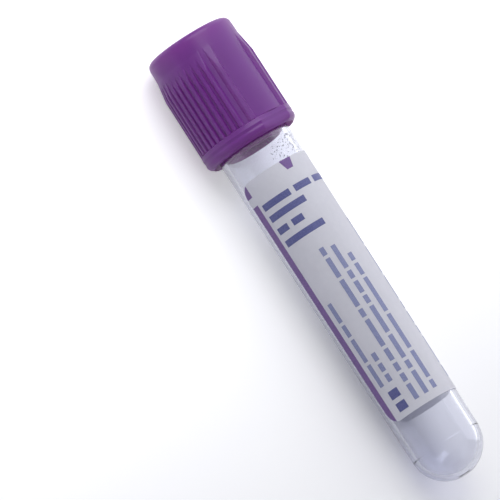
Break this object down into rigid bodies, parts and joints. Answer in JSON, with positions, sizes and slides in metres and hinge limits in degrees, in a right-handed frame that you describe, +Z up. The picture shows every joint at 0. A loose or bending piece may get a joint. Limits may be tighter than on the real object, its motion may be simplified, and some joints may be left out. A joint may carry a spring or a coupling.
{
  "type": "blood collection tube",
  "caption": "Clear round-bottomed evacuated tube with a wrapped label, a rubber stopper and a ribbed pull-off closure, lying on its side.",
  "frame": {"origin": "on the floor, under the middle of the lying tube's box", "axes": "+X along the tube towards its round bottom, +Y across it, +Z up; the closure is at -X"},
  "size_m": [0.0844, 0.0168, 0.0162],
  "materials": {
    "clear_pet": "clear moulded PET, polished",
    "label_film": "satin printed film",
    "stopper_rubber": "smooth moulded butyl rubber",
    "closure_polyethylene": "moulded polyethylene, low sheen"
  },
  "bodies": {
    "tube": {"tube": "clear_pet", "label": "label_film"},
    "closure": {"closure_shield": "closure_polyethylene", "stopper": "stopper_rubber"}
  },
  "joints": [
    {"name": "closure_pull", "type": "slide", "parent": "tube", "child": "closure", "axis": [-0.9996, 0, 0.0276], "range_m": [0, 0.025]}
  ]
}
